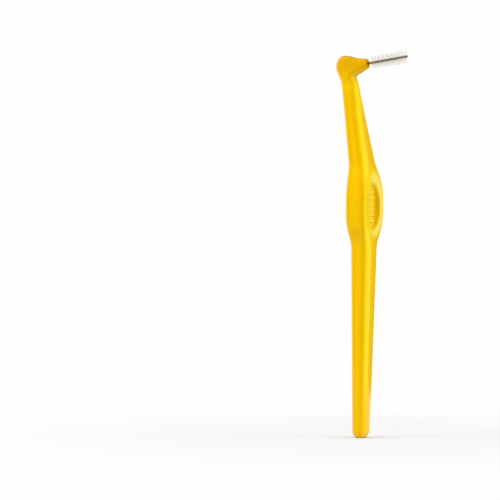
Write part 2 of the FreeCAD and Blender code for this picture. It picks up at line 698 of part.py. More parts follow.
spacing = number("sizes.filament_spacing")
bristle_run = twist_end - spacing - number("sizes.bristle_start")
bristle_count = math.floor(bristle_run / spacing) + 1
turn_count = math.ceil(bristle_count * spacing / pitch)
per_turn = math.ceil(bristle_count / turn_count)
bristles = []
for place in range(bristle_count):
    reach = f"(sizes.bristle_start + {place} * sizes.filament_spacing)"
    share = f"({place} / {bristle_count - 1})"
    length = between("sizes.bristle_base", "sizes.bristle_tip", share)
    bristle = doc.addObject("Part::Cylinder", f"filament_{place + 1}")
    bristle.setExpression("Radius", "sizes.filament_diameter / 2")
    bristle.setExpression("Height", length)
    turn = 2 * math.pi * number(reach) / pitch
    way = Vector(0, -math.sin(turn), math.cos(turn))
    foot = Vector(number(reach), 0, 0) - way * (number(length) / 2)
    standing = Placement(foot, Rotation(Vector(0, 0, 1), way))
    bristle.Placement = nose_frame.multiply(standing)
    bristles.append(bristle)
brush_groups = []
for which in range(turn_count):
    group = doc.addObject("Part::Compound", f"filaments_turn_{which + 1}")
    group.Label = f"filaments_turn_{which + 1}"
    group.Links = bristles[which * per_turn:(which + 1) * per_turn]
    brush_groups.append(group)
doc.recompute()
print(bristle_count, "filaments in", turn_count, "turns")

# What every sub-part has to be before it is written: its objects sound, its shape valid.
parts = [handle, wire_core, wire_coating] + brush_groups
for item in doc.Objects:
    if "Invalid" in item.State or "Error" in item.State:
        raise RuntimeError(f"{item.Name} failed: {item.State}")
os.makedirs("parts", exist_ok=True)
for part in parts:
    if part.Shape.isNull() or not part.Shape.isValid():
        raise RuntimeError(f"{part.Label} has no valid shape")
    part.Shape.exportStep(f"parts/{part.Label}.step")
    print(part.Label, len(part.Shape.Solids), "solids,", round(part.Shape.Volume, 2), "mm3")
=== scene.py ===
import math

import bpy
import numpy as np
from mathutils import Matrix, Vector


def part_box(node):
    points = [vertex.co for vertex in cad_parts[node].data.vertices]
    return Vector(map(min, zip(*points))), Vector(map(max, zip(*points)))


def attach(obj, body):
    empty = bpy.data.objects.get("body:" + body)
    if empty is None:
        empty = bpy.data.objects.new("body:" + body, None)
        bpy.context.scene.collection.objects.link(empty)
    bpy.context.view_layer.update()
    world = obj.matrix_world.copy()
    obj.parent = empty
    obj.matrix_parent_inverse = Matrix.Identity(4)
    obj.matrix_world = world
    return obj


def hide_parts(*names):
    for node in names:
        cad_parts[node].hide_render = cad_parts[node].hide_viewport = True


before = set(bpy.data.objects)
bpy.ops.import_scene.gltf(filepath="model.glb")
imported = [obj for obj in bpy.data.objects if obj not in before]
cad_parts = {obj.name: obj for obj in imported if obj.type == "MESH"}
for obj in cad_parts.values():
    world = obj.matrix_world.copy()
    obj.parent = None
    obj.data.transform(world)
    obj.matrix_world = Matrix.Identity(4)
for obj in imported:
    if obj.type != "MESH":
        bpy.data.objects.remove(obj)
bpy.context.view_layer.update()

# Handle
# One injection moulding of yellow polypropylene with a satin gloss: flat tail, slim shaft, oval
# grip with a sunk thumb recess, neck that leans back, and a hooded head with a tapered nose.

# Its sizes are in millimetres, and every cross-section has flat sides, a crowned front and back
# and four rounded corners.
MM = 0.001
tiny = 0.001
tail_drop, tail_round = 58.4, 2.2
tail_thickness, tail_width = 3.65, 5.25
tail_end_thickness_share, tail_end_width_share = 0.38, 0.56
shaft_thickness, shaft_width = 5.2, 7.7
grip_below, grip_above = 10.5, 11.3
grip_width, grip_crest, pad_thickness = 12.7, 6.85, 5.25
swell_fullness, swell_ease_below, swell_ease_above = 3.1, 2.2, 1.9
neck_thickness, neck_width = 5.25, 8.1
slim_height, slim_thickness, slim_width = 26.7, 4.3, 4.4
neck_top, neck_top_thickness, neck_top_width = 31.0, 4.05, 3.7
bend_height, bend_radius = 6.25, 40.0
tail_lean, neck_lean = math.radians(0.95), math.radians(9.3)
corner_radius, corner_limit_share = 1.1, 0.36
crown_share, crown_limit_share = 0.11, 0.13
soft_change, soft_steps = 0.7, 9
bend_start = bend_height - bend_radius * math.tan(neck_lean / 2)
bend_end = bend_start + bend_radius * math.sin(neck_lean)


def centre_line(height):
    """Forward place of the centre line: a leaning line below the origin, upright to the bend,
    an arc round the bend, then the leaning line of the neck."""
    rise = np.clip(height - bend_start, 0, bend_end - bend_start)
    arc = np.sqrt(bend_radius**2 - rise**2) - bend_radius
    neck = -(height - bend_height) * math.tan(neck_lean)
    tail = height * math.tan(tail_lean)
    return np.select([height <= 0, height < bend_end], [tail, arc], neck)


def swelling(height):
    """The grip's oval swell, 1 at its middle. The share of the way outward is raised to the
    fullness and taken from 1, and that is raised to an ease, one down to the shaft, one up."""
    below = np.clip(-height / grip_below, 0, 1)
    above = np.clip(height / grip_above, 0, 1)
    return np.where(height < 0, (1 - below**swell_fullness) ** swell_ease_below,
                    (1 - above**swell_fullness) ** swell_ease_above)


def level_size(height):
    """Thickness and width of the level cross-section at each height: straight tapers from stop
    to stop, with the grip's swell added, evened out over a short height."""
    stops = [tail_round - tail_drop, -grip_below, -tiny, tiny, grip_above, slim_height, neck_top]
    thick_stops = [tail_thickness, shaft_thickness, shaft_thickness, neck_thickness,
                   neck_thickness, slim_thickness, neck_top_thickness]
    wide_stops = [tail_width, shaft_width, shaft_width, neck_width,
                  neck_width, slim_width, neck_top_width]
    thickness, width = 0, 0
    shifts = np.linspace(-soft_change, soft_change, soft_steps)
    for shift in shifts:
        at = height + shift * np.clip((neck_top - height) / neck_top, 0, 1)
        plain_thickness = np.interp(at, stops, thick_stops)
        plain_width = np.interp(at, stops, wide_stops)
        swell = swelling(at)
        thickness = thickness + plain_thickness + (grip_crest - plain_thickness) * swell
        width = width + plain_width + (grip_width - plain_width) * swell
    return thickness / len(shifts), width / len(shifts)


# Each cross-section is carried by its front and its back point in the side view, its width and
# the radius of its corners. The level ones climb from the tail to the neck's top, and lie
# closest along the thumb recess.
tail_turn = np.linspace(0, np.pi / 2, 12)
tail_heights = -tail_drop + tail_round * (1 - np.cos(tail_turn))
rib_pitch, rib_count = 1.45, 6
fine_step, fine_rows = rib_pitch / 20, 90
fine_reach = fine_rows * fine_step
grip_low, grip_high = -grip_below - 1, grip_above + 1
level_heights = np.concatenate([
    np.linspace(tail_heights[-1], grip_low, 58)[1:],
    np.linspace(grip_low, -fine_reach, 24)[1:-1],
    np.arange(-fine_rows, fine_rows + 1) * fine_step,
    np.linspace(fine_reach, grip_high, 22)[1:],
    np.linspace(grip_high, neck_top, 44)[1:],
])
heights = np.concatenate([tail_heights, level_heights])
thickness, width = level_size(heights)
tail_rows = len(tail_heights)
closing = np.sin(tail_turn)
thickness[:tail_rows] *= tail_end_thickness_share + (1 - tail_end_thickness_share) * closing
width[:tail_rows] *= tail_end_width_share + (1 - tail_end_width_share) * closing
level_rows = np.column_stack([
    centre_line(heights) + thickness / 2, heights,
    centre_line(heights) - thickness / 2, heights,
    width, np.minimum(corner_radius, corner_limit_share * thickness),
])

# The head's cross-sections fan round the inner corner, from level at the neck to square across
# the nose. A share pair places the front point, of the nose's reach and the head's rise, and
# three shares place the back point, of the nose's reach, the heel's reach and the head's rise.
# The last share is of the head's width.
head_rise, head_width, head_corner = 6.9, 4.6, 1.3
nose_reach, nose_rise, heel_reach = 4.97, 5.0, 3.3
nose_diameter, nose_round = 2.4, 0.22
wire_tilt = math.radians(9.3)
nose_flat_share = 0.08
round_share = (1 - nose_flat_share) / 2
head_fan_shares = np.array([
    (0.298, 0.174, 0, 0.77, 0.246, 1.0),
    (0.323, 0.268, 0, 0.99, 0.507, 1.0),
    (0.402, 0.312, 0, 0.95, 0.794, 1.0),
    (0.474, 0.333, 0, 0.62, 0.984, 0.97),
    (0.563, 0.362, 0, 0.1, 0.991, 0.9),
    (0.664, 0.406, 0.242, 0, 0.942, 0.8),
    (0.785, 0.457, 0.524, 0, 0.909, 0.68),
    (0.916, 0.5, 0.805, 0, 0.903, 0.565),
])
neck_forward = float(centre_line(np.array(neck_top)))
nose_end = np.array([neck_forward + nose_reach, neck_top + nose_rise])
nose_way = np.array([math.cos(wire_tilt), math.sin(wire_tilt)])
nose_across = np.array([math.sin(wire_tilt), -math.cos(wire_tilt)])


def nose_rows(back, across, corner):
    """Round cross-sections square to the nose's line, each some way back from its end."""
    centre = nose_end - np.outer(back, nose_way)
    front = centre + np.outer(across / 2, nose_across)
    rear = centre - np.outer(across / 2, nose_across)
    return np.column_stack([front, rear, across, corner])


def cubic(share, start, finish, start_slope, finish_slope):
    """The cubic that goes from start to finish with the given slopes there, at shares of the
    way: each of the four is weighed by a cubic of the share."""
    return (start * (1 + 2 * share) * (1 - share) ** 2 + start_slope * share * (1 - share) ** 2
            + finish * (3 - 2 * share) * share**2 + finish_slope * (share - 1) * share**2)


def spline_through(rows, steps):
    """A smooth curve through rows of numbers, from the second to the last but one: between two
    rows it is the cubic whose slope at each is half the way from its one neighbour to the other."""
    share = np.arange(steps)[:, None] / steps
    return np.concatenate([
        cubic(share, near, far, (far - before) / 2, (after - near) / 2)
        for before, near, far, after in zip(rows, rows[1:], rows[2:], rows[3:])
    ])


fan_forward, fan_up, out_forward, out_back, out_up, wide = head_fan_shares.T
head_rows = np.column_stack([
    neck_forward + nose_reach * fan_forward, neck_top + head_rise * fan_up,
    neck_forward + nose_reach * out_forward - heel_reach * out_back,
    neck_top + head_rise * out_up, head_width * wide,
    np.minimum(head_corner, round_share * head_width * wide),
])
nose_start = nose_rows(
    np.array([nose_round]), np.array([nose_diameter]), round_share * np.array([nose_diameter])
)
below_head = level_rows[-4:-3]
past_start = 2 * nose_start - head_rows[-1:]
head_steps = 9
head_curve = spline_through(
    np.concatenate([below_head, level_rows[-1:], head_rows, nose_start, past_start]), head_steps
)

# The nose ends in a rounded edge, a flat and a bore that grips the twisted wire.
wire_diameter, skin_thickness = 0.25, 0.03
filament_diameter, filament_clearance = 0.08, 0.004
wire_embed, bore_clearance = 5.9, 0.02
strand = wire_diameter + 2 * skin_thickness
twist_radius = (strand + filament_diameter) / 2 + filament_clearance
bore_radius = twist_radius + strand / 2 + bore_clearance
edge_turn = np.linspace(0, np.pi / 2, 7)
edge_back = nose_round * (1 - np.sin(edge_turn))
edge_across = nose_diameter - 2 * nose_round * (1 - np.cos(edge_turn))
flat_across = [1.45, 1.1]
bore_depths = np.array([0, 0.02, 0.06, 0.2, 1, 3, wire_embed])
bore_flare = np.array([0.12, 0.05, 0.01, 0, 0, 0, 0])
end_across = np.concatenate([edge_across, flat_across, 2 * bore_radius + bore_flare])
end_back = np.concatenate([edge_back, [0, 0], bore_depths])
end_rows = nose_rows(end_back, end_across, round_share * end_across)
all_rows = np.concatenate([level_rows[:-1], head_curve, end_rows])

# Columns run round the outline: front, corner, side, corner, back and so round again. They lie
# closest where the recess's walls are.
fine_from, fine_to = 0.24, 0.86
front_half = np.concatenate([
    np.linspace(0, fine_from, 6)[:-1], np.linspace(fine_from, fine_to, 44)[:-1],
    np.linspace(fine_to, 1, 5),
])
front_shares = np.concatenate([-front_half[:0:-1], front_half])
back_shares = np.linspace(1, -1, 25)
corner_shares = np.linspace(0, 1, 9)[1:-1]
side_shares = np.array([1, 0.75, 0.5, 0.25, 0, -0.25, -0.5, -0.75, -1])


def outline(rows):
    """Points of every cross-section, forward from its middle and to the side: arcs crowned by a
    share of the width at front and back, straight sides, and corner arcs tangent to both."""
    span = np.hypot(rows[:, 0] - rows[:, 2], rows[:, 1] - rows[:, 3])[:, None]
    across = rows[:, 4:5]
    corner = rows[:, 5:6]
    rise = np.minimum(crown_share * across, crown_limit_share * span)
    crown = across**2 / (8 * rise) + rise / 2
    crown_x = span / 2 - crown
    corner_y = across / 2 - corner
    corner_x = crown_x + np.sqrt((crown - corner) ** 2 - corner_y**2)
    turn = np.arctan2(corner_y, corner_x - crown_x)
    touch = crown * np.sin(turn)
    front_y = front_shares * touch
    front_x = crown_x + np.sqrt(crown**2 - front_y**2)
    back_y = back_shares * touch
    back_x = -crown_x - np.sqrt(crown**2 - back_y**2)
    bend = turn + (np.pi / 2 - turn) * corner_shares
    corner_out_x = corner_x + corner * np.cos(bend)
    corner_out_y = corner_y + corner * np.sin(bend)
    side_x = corner_x * side_shares
    side_y = across / 2 + 0 * side_x
    x = np.concatenate([front_x, corner_out_x, side_x, -corner_out_x[:, ::-1], back_x,
                        -corner_out_x, -side_x, corner_out_x[:, ::-1]], axis=1)
    y = np.concatenate([front_y, corner_out_y, side_y, corner_out_y[:, ::-1], back_y,
                        -corner_out_y, -side_y, -corner_out_y[:, ::-1]], axis=1)
    return x, y


local_x, local_y = outline(all_rows)
y = local_y.copy()
span = all_rows[:, 0:2] - all_rows[:, 2:4]
way = span / np.linalg.norm(span, axis=1)[:, None]
middle = (all_rows[:, 0:2] + all_rows[:, 2:4]) / 2
x = middle[:, :1] + local_x * way[:, :1]
z = middle[:, 1:] + local_x * way[:, 1:]

# The pads: the grip's crown is planed flat at front and back, level with the centre line.
crease_soft, pad_overrun = 0.12, 1.5
row_heights = np.full(len(all_rows), np.inf)
row_heights[:len(heights) - 1] = heights[:-1]
grip_rows = abs(row_heights)[:, None] < grip_above + pad_overrun


def pad_face(height, side):
    """Forward place of the planed face: half the pad's thickness from the centre line, round
    the bend with it, in front for side 1 and behind for side -1."""
    radius = bend_radius + side * pad_thickness / 2
    rise = np.clip(height - bend_start, 0, radius * math.sin(neck_lean))
    arc = np.sqrt(radius**2 - rise**2) - bend_radius
    beyond = np.maximum(height - bend_start - radius * math.sin(neck_lean), 0)
    return arc - beyond * math.tan(neck_lean)


def smooth_least(a, b, soft):
    """The lesser of two values, rounded off where they cross: a parabola over the soft width."""
    mix = np.clip(0.5 + 0.5 * (b - a) / soft, 0, 1)
    return b + (a - b) * mix - soft * mix * (1 - mix)


# The planing runs out over a short height below the grip, as on the solid.
run_out, run_out_height = 0.4, 1.0
runs_out = run_out * np.clip((-grip_below - z) / run_out_height, 0, 1)
front_pad, back_pad = pad_face(z, 1) + runs_out, pad_face(z, -1) - runs_out
planed_off = np.where(grip_rows, np.maximum(x - front_pad, back_pad - x), 0)
planed = np.where(x > middle[:, :1], smooth_least(x, front_pad, crease_soft),
                  -smooth_least(-x, -back_pad, crease_soft))
x = np.where(grip_rows, planed, x)

# The thumb recess: an oval with a rounded rim, a steep wall and a rounded foot. Points near the
# wall are drawn onto its upper or lower edge, so that both edges are clean lines.
recess_length, recess_width, recess_depth, recess_rim = 11.6, 7.7, 1.1, 0.3
wall_half = 0.06
recess_rows = np.where(abs(row_heights) <= fine_reach + fine_step / 2)[0]
patch = np.s_[recess_rows[0]:recess_rows[-1] + 1, :len(front_shares)]


def oval_gap(across, up):
    """How far a point lies outside the recess's oval, and the way outward: the oval's own
    equation divided by its slope, which is the true distance close to the wall."""
    a, b = recess_width / 2, recess_length / 2
    level = np.maximum(np.hypot(across / a, up / b), tiny)
    slope_y, slope_z = across / a**2 / level, up / b**2 / level
    slope = np.maximum(np.hypot(slope_y, slope_z), tiny)
    return (level - 1) / slope, slope_y / slope, slope_z / slope


gap, out_y, out_z = oval_gap(y[patch], z[patch])
near = abs(gap) < wall_half + fine_step / 2
move = np.where(near, np.where(gap >= 0, wall_half, -wall_half) - gap, 0)
y[patch] += move * out_y
z[patch] += move * out_z
gap = oval_gap(y[patch], z[patch])[0]
face_x = x[patch]
floor_x = pad_thickness / 2 - recess_depth
round_in = np.clip((wall_half + recess_rim - gap) / recess_rim, 0, 1)
round_out = np.clip((gap + wall_half + recess_rim) / recess_rim, 0, 1)
rim_drop = recess_rim * (1 - np.sqrt(1 - round_in**2))
foot_rise = recess_rim * (1 - np.sqrt(1 - round_out**2))
face_x = np.where(gap > 0, face_x - rim_drop, floor_x + foot_rise)

# Six soft ribs lie across its floor, so that a wet thumb doesn't slip.
rib_length, rib_width, rib_height, rib_fullness = 3.9, 0.65, 0.4, 4
rib_places = (np.arange(rib_count) - (rib_count - 1) / 2) * rib_pitch
rib_share = 0 * face_x
for place in rib_places:
    beside = np.maximum(abs(y[patch]) - (rib_length - rib_width) / 2, 0)
    off = np.hypot(beside, z[patch] - place) / (rib_width / 2)
    rise = np.sqrt(np.clip(1 - off**rib_fullness, 0, 1))
    face_x = np.maximum(face_x, floor_x + rib_height * rise)
    rib_share = np.maximum(rib_share, rise)
x[patch] = face_x

# The bore's cross-sections are circles, and the nose's end runs over into them.
end_first = len(all_rows) - len(end_rows)
end_local_x, end_y = local_x[end_first:], local_y[end_first:]
radius = np.hypot(end_local_x, end_y)
circle_from, circle_over = 4, 5
circle_share = np.clip((np.arange(len(end_rows)) - circle_from) / circle_over, 0, 1)[:, None]
to_circle = 1 + circle_share * (end_across[:, None] / 2 / radius - 1)
y[end_first:] = end_y * to_circle
x[end_first:] = middle[end_first:, :1] + end_local_x * to_circle * way[end_first:, :1]
z[end_first:] = middle[end_first:, 1:] + end_local_x * to_circle * way[end_first:, 1:]


def closed_skin(rows, cols):
    """Quads of a grid that closes round, and a fan at each end to one more point."""
    place = np.arange(rows * cols).reshape(rows, cols)
    beside = np.roll(place, -1, axis=1)
    quads = np.stack([place[:-1], beside[:-1], beside[1:], place[1:]], axis=-1).reshape(-1, 4)
    first, last = rows * cols, rows * cols + 1
    start_fan = np.stack([beside[0], place[0], np.full(cols, first)], axis=-1)
    end_fan = np.stack([place[-1], beside[-1], np.full(cols, last)], axis=-1)
    return quads, np.concatenate([start_fan, end_fan])


def make_piece(name, points, quads, triangles, material, slot, *replaced):
    """A closed smooth mesh at its place in metres, with its material, riding on the body."""
    mesh = bpy.data.meshes.new(name)
    corners = np.concatenate([quads.ravel(), triangles.ravel()])
    starts = np.concatenate([
        np.arange(len(quads)) * 4, len(quads) * 4 + np.arange(len(triangles)) * 3
    ])
    mesh.vertices.add(len(points))
    mesh.vertices.foreach_set("co", (points * MM).astype(np.float32).ravel())
    mesh.loops.add(len(corners))
    mesh.loops.foreach_set("vertex_index", corners.astype(np.int32))
    mesh.polygons.add(len(starts))
    mesh.polygons.foreach_set("loop_start", starts.astype(np.int32))
    mesh.update(calc_edges=True)
    mesh.shade_smooth()
    mesh.materials.append(material)
    piece = bpy.data.objects.new(name, mesh)
    bpy.context.scene.collection.objects.link(piece)
    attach(piece, "root")
    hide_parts(*replaced)
    return piece


def surface_grain():
    """A node group that several finishes share: slow cloudy variation, fine grain and fine
    scratches that run along the piece, each from 0 to 1."""
    group = bpy.data.node_groups.new("surface grain", "ShaderNodeTree")
    for socket, kind in (("Vector", "NodeSocketVector"), ("Cloud Scale", "NodeSocketFloat"),
                         ("Grain Scale", "NodeSocketFloat"), ("Scratch Scale", "NodeSocketFloat")):
        group.interface.new_socket(socket, in_out="INPUT", socket_type=kind)
    for socket in ("Cloud", "Grain", "Scratch"):
        group.interface.new_socket(socket, in_out="OUTPUT", socket_type="NodeSocketFloat")
    nodes, links = group.nodes, group.links
    given = nodes.new("NodeGroupInput")
    put_out = nodes.new("NodeGroupOutput")
    cloud = nodes.new("ShaderNodeTexNoise")
    cloud.inputs["Detail"].default_value = 3
    grain = nodes.new("ShaderNodeTexNoise")
    grain.inputs["Detail"].default_value = 2
    stretch = nodes.new("ShaderNodeMapping")
    stretch.inputs["Scale"].default_value = (1, 1, 0.04)
    scratch = nodes.new("ShaderNodeTexNoise")
    scratch.inputs["Detail"].default_value = 4
    thin = nodes.new("ShaderNodeMapRange")
    thin.inputs["From Min"].default_value = 0.55
    thin.inputs["From Max"].default_value = 0.75
    links.new(given.outputs["Vector"], cloud.inputs["Vector"])
    links.new(given.outputs["Vector"], grain.inputs["Vector"])
    links.new(given.outputs["Vector"], stretch.inputs["Vector"])
    links.new(stretch.outputs["Vector"], scratch.inputs["Vector"])
    links.new(given.outputs["Cloud Scale"], cloud.inputs["Scale"])
    links.new(given.outputs["Grain Scale"], grain.inputs["Scale"])
    links.new(given.outputs["Scratch Scale"], scratch.inputs["Scale"])
    links.new(cloud.outputs["Fac"], put_out.inputs["Cloud"])
    links.new(grain.outputs["Fac"], put_out.inputs["Grain"])
    links.new(scratch.outputs["Fac"], thin.inputs["Value"])
    links.new(thin.outputs["Result"], put_out.inputs["Scratch"])
    return group


grain_group = surface_grain()


def finish_nodes(name, cloud_scale, grain_scale, scratch_scale):
    """A new material with its shader and the shared grain group on Object coordinates."""
    material = bpy.data.materials.new(name)
    material.use_nodes = True
    nodes, links = material.node_tree.nodes, material.node_tree.links
    shader = nodes["Principled BSDF"]
    place = nodes.new("ShaderNodeTexCoord")
    grain = nodes.new("ShaderNodeGroup")
    grain.node_tree = grain_group
    grain.inputs["Cloud Scale"].default_value = cloud_scale
    grain.inputs["Grain Scale"].default_value = grain_scale
    grain.inputs["Scratch Scale"].default_value = scratch_scale
    links.new(place.outputs["Object"], grain.inputs["Vector"])
    return material, nodes, links, shader, place, grain


def blend_colours(nodes, links, factor, first, second):
    """A mix of two colours, or of a colour socket and a colour, by a factor socket."""
    mix = nodes.new("ShaderNodeMix")
    mix.data_type = "RGBA"
    links.new(factor, mix.inputs["Factor"])
    for socket, colour in ((mix.inputs[6], first), (mix.inputs[7], second)):
        if isinstance(colour, bpy.types.NodeSocket):
            links.new(colour, socket)
        else:
            socket.default_value = (*colour, 1)
    return mix.outputs[2]


def ranged(nodes, links, value, low, high, to_low, to_high):
    """A value socket carried from one range to another, held at the ends."""
    spread = nodes.new("ShaderNodeMapRange")
    spread.inputs["From Min"].default_value = low
    spread.inputs["From Max"].default_value = high
    spread.inputs["To Min"].default_value = to_low
    spread.inputs["To Max"].default_value = to_high
    links.new(value, spread.inputs["Value"])
    return spread.outputs["Result"]


def math_node(nodes, links, operation, *values):
    """What a math node makes of its values, each a socket or a number."""
    node = nodes.new("ShaderNodeMath")
    node.operation = operation
    for socket, value in zip(node.inputs, values):
        if isinstance(value, bpy.types.NodeSocket):
            links.new(value, socket)
        else:
            socket.default_value = value
    return node.outputs["Value"]


body_yellow = (0.95, 0.575, 0.001)
cloud_yellow = (0.93, 0.555, 0.001)
# Painted shade on the side.
side_shade_yellow = (0.87, 0.48, 0.0005)
# Painted shade on the head.
head_shade_yellow = (0.835, 0.437, 0.001)
# Painted highlight on the corners, the front bands, the pads and the recess floor.
highlight_yellow = (1.0, 0.74, 0.006)
# Painted shade in the recess, along its rim and at the foot.
hollow_shade_yellow = (0.76, 0.435, 0.0005)
# Pale painted reflection on the pads and the recess floor.
reflection_yellow = (1.0, 0.78, 0.11)
head_shade_fade = 4.0
satin_roughness, reflection_dullness = (0.17, 0.25), 0.2
grain_strength, grain_depth = 0.25, 0.006
cloud_range, grain_range = (0.35, 0.65), (0.3, 0.7)

yellow, nodes, links, shader, place, grain = finish_nodes(
    "yellow polypropylene", cloud_scale=160, grain_scale=5200, scratch_scale=900
)
height_of = nodes.new("ShaderNodeSeparateXYZ")
links.new(place.outputs["Object"], height_of.inputs["Vector"])
cloudy = ranged(nodes, links, grain.outputs["Cloud"], *cloud_range, 0, 1)
plain = blend_colours(nodes, links, cloudy, body_yellow, cloud_yellow)
# Painted shade: the head's yellow is darker, fading in over a short height above the neck's top.
head_shade_share = ranged(nodes, links, height_of.outputs["Z"], neck_top * MM,
                    (neck_top + head_shade_fade) * MM, 0, 1)
toned = blend_colours(nodes, links, head_shade_share, plain, head_shade_yellow)
for name, colour in (("side_shade", side_shade_yellow), ("highlight", highlight_yellow), ("hollow_shade", hollow_shade_yellow),
                     ("pale_reflection", reflection_yellow)):
    tone = nodes.new("ShaderNodeAttribute")
    tone.attribute_name = name
    toned = blend_colours(nodes, links, tone.outputs["Fac"], toned, colour)
links.new(toned, shader.inputs["Base Color"])

# The last tone, the pale painted reflection, also makes the gloss duller where it lies. The mould's
# fine grain shows in it.
satin = ranged(nodes, links, grain.outputs["Scratch"], 0, 1, *satin_roughness)
dulled = math_node(nodes, links, "MULTIPLY_ADD", tone.outputs["Fac"], reflection_dullness, satin)
links.new(dulled, shader.inputs["Roughness"])
bump = nodes.new("ShaderNodeBump")
bump.inputs["Strength"].default_value = grain_strength
bump.inputs["Distance"].default_value = grain_depth * MM
links.new(grain.outputs["Grain"], bump.inputs["Height"])
links.new(bump.outputs["Normal"], shader.inputs["Normal"])
shader.inputs["IOR"].default_value = 1.49
shader.inputs["Specular Tint"].default_value = (1.0, 0.93, 0.06, 1)

skin_quads, skin_fans = closed_skin(*x.shape)
skin_points = np.stack([x, y, z], axis=-1)
poles = [skin_points[0].mean(axis=0), skin_points[-1].mean(axis=0)]
handle = make_piece("moulded_handle", np.concatenate([skin_points.reshape(-1, 3), poles]),
                    skin_quads, skin_fans, yellow, "handle", "handle")

# The yellow's painted highlights and painted shade follow the form. How far a point lies along the
# outline past the near edge of its crowned face, counted outward, says where it is on the rounded
# corner.
step_length = np.hypot(np.diff(local_x, axis=1), np.diff(local_y, axis=1))
along = np.concatenate([np.zeros((len(all_rows), 1)), np.cumsum(step_length, axis=1)], axis=1)
whole_way = along[:, -1:] + np.hypot(local_x[:, :1] - local_x[:, -1:],
                                     local_y[:, :1] - local_y[:, -1:])
front_last = len(front_shares) - 1
back_first = front_last + 1 + 2 * len(corner_shares) + len(side_shares)
back_last = back_first + len(back_shares) - 1
past_front = np.minimum(along - along[:, front_last, None], whole_way - along)
inside_front = np.minimum(along, along[:, front_last, None] - along)
past_front[:, :front_last + 1] = -inside_front[:, :front_last + 1]
past_back = np.maximum(along[:, back_first, None] - along, along - along[:, back_last, None])
past_edge = np.where(local_x > 0, past_front, past_back)


def share_of_way(value, start, end):
    """0 before the start, 1 past the end, and the share of the way between them."""
    return np.clip((value - start) / (end - start), 0, 1)


def soft_line(value, place, spread):
    """1 at a place, falling off evenly on both sides: a bell curve with the given spread."""
    return np.exp(-((value - place) / spread) ** 2)


# Painted highlights: each rounded corner is pale where it starts. On the front a pale painted
# highlight band runs along both edges, fuller on the right side. It is wider down the shaft, with a
# thin line in it that is less pale, and goes right across under the hood. The planed pads are
# painted pale all over. These painted highlights end at the head and fade out towards the tail.
full_tone = 0.9
corner_place, corner_spread = 0.15, 0.25
band_start, band_widening, far_side_tone = 0.55, 0.15, 0.55
inner_soft, outer_soft = 0.25, 0.175
band_overlap, neck_overlap = 0.35, 0.25
shaft_line_tone, shaft_line_place, shaft_line_spread = 0.6, -0.4, 0.2
below_hood = share_of_way(z, neck_top + 2.4, neck_top + 1.2)
above_tail = share_of_way(z, 2.4 - tail_drop, 14.4 - tail_drop)
up_neck = share_of_way(z, 0, 12)
down_shaft = share_of_way(z, -8, -11)
near_hood = share_of_way(z, 22, 27)
pad_share = share_of_way(planed_off, 0, 0.25)
corner_line = below_hood * soft_line(past_edge, corner_place, corner_spread)
band_inner = (band_start - band_widening * down_shaft) * abs(y[:, :1])
band_outer = band_overlap + neck_overlap * up_neck
edge_band = share_of_way(abs(y), band_inner - inner_soft, band_inner + inner_soft)
edge_band = np.maximum(edge_band * np.where(y < 0, 1, far_side_tone), near_hood)
edge_band = edge_band * share_of_way(past_edge, band_outer + outer_soft, band_outer - outer_soft)
shaft_line = soft_line(past_edge, shaft_line_place, shaft_line_spread)
edge_band = edge_band * (1 - shaft_line_tone * down_shaft * shaft_line)
edge_band = np.where(local_x > 0, below_hood * edge_band, 0)
highlight_share = np.maximum(np.maximum(corner_line, edge_band), pad_share) * full_tone * above_tail

# Painted shade: the side is darker where the rounded corner ends, and where the grip draws in
# to the shaft.
side_shade_place, neck_shift, side_shade_spread = 1.3, 0.2, 0.5
draw_in_tone, draw_in_height, draw_in_spread = 0.85, -6.7, 2.0
side_line = soft_line(past_edge, side_shade_place + neck_shift * up_neck, side_shade_spread)
draw_in = soft_line(z, draw_in_height, draw_in_spread) * share_of_way(past_edge, 0.8, 1.8)
side_shade_share = np.maximum(full_tone * share_of_way(z, neck_top - 1.2, neck_top - 3.2) * side_line,
                        draw_in_tone * draw_in)

# A pale painted reflection lies on the two pads, fullest towards the brush's left side and fading
# out at their upper and lower ends.
reflection_side = share_of_way(y, -4, 2)
reflection_share = reflection_side**2 * (3 - 2 * reflection_side) * pad_share * share_of_way(abs(z), 9.2, 7.4)

# In the recess a ring of painted shade lies round the floor, fullest at its two sides and weaker
# close to the wall. The floor inside it is painted pale as a highlight with a little painted
# reflection, and its ribs are palest. The rim's right side has a thin line of painted shade, and
# the tail's foot has the ring's painted shade where it stands.
ring_end_tone, wall_easing = 0.1, 0.65
rim_place, rim_spread = 0.2, 0.25
floor_pale, floor_reflection, rib_reflection = 0.7, 0.1, 0.25
in_recess = gap < 0
by_wall = share_of_way(gap, -0.5, -0.1)
ring = share_of_way(gap, -1.75, -1.25) * share_of_way(gap, 0.3, 0.15) * (1 - rib_share)
ring = ring * (ring_end_tone + (1 - ring_end_tone) * out_y**2)
rim_line = share_of_way(y[patch], 1.5, -1.5) * soft_line(gap, rim_place, rim_spread)
hollow_shade_share = full_tone * share_of_way(z, 0.5 - tail_drop, 0.1 - tail_drop)
hollow_shade_share[patch] = np.maximum(ring * (1 - wall_easing * by_wall), rim_line)
floor_reflection_share = floor_reflection + rib_reflection * rib_share
reflection_share[patch] = np.where(in_recess, floor_reflection_share, reflection_share[patch]) * (1 - ring)
floor_highlight = (floor_pale + (1 - floor_pale) * rib_share) * (1 - ring)
highlight_share[patch] = np.where(in_recess, floor_highlight, highlight_share[patch])
for name, share in (("highlight", highlight_share), ("side_shade", side_shade_share), ("hollow_shade", hollow_shade_share),
                    ("pale_reflection", reflection_share)):
    attribute = handle.data.attributes.new(name, "FLOAT", "POINT")
    attribute.data.foreach_set("value", np.append(share.ravel(), [0, 0]).astype(np.float32))

# Wire
# One length of stainless steel, folded like a hairpin at the tip and twisted. Its two ends are
# moulded into the head. A thin skin of grey plastic covers all of it.

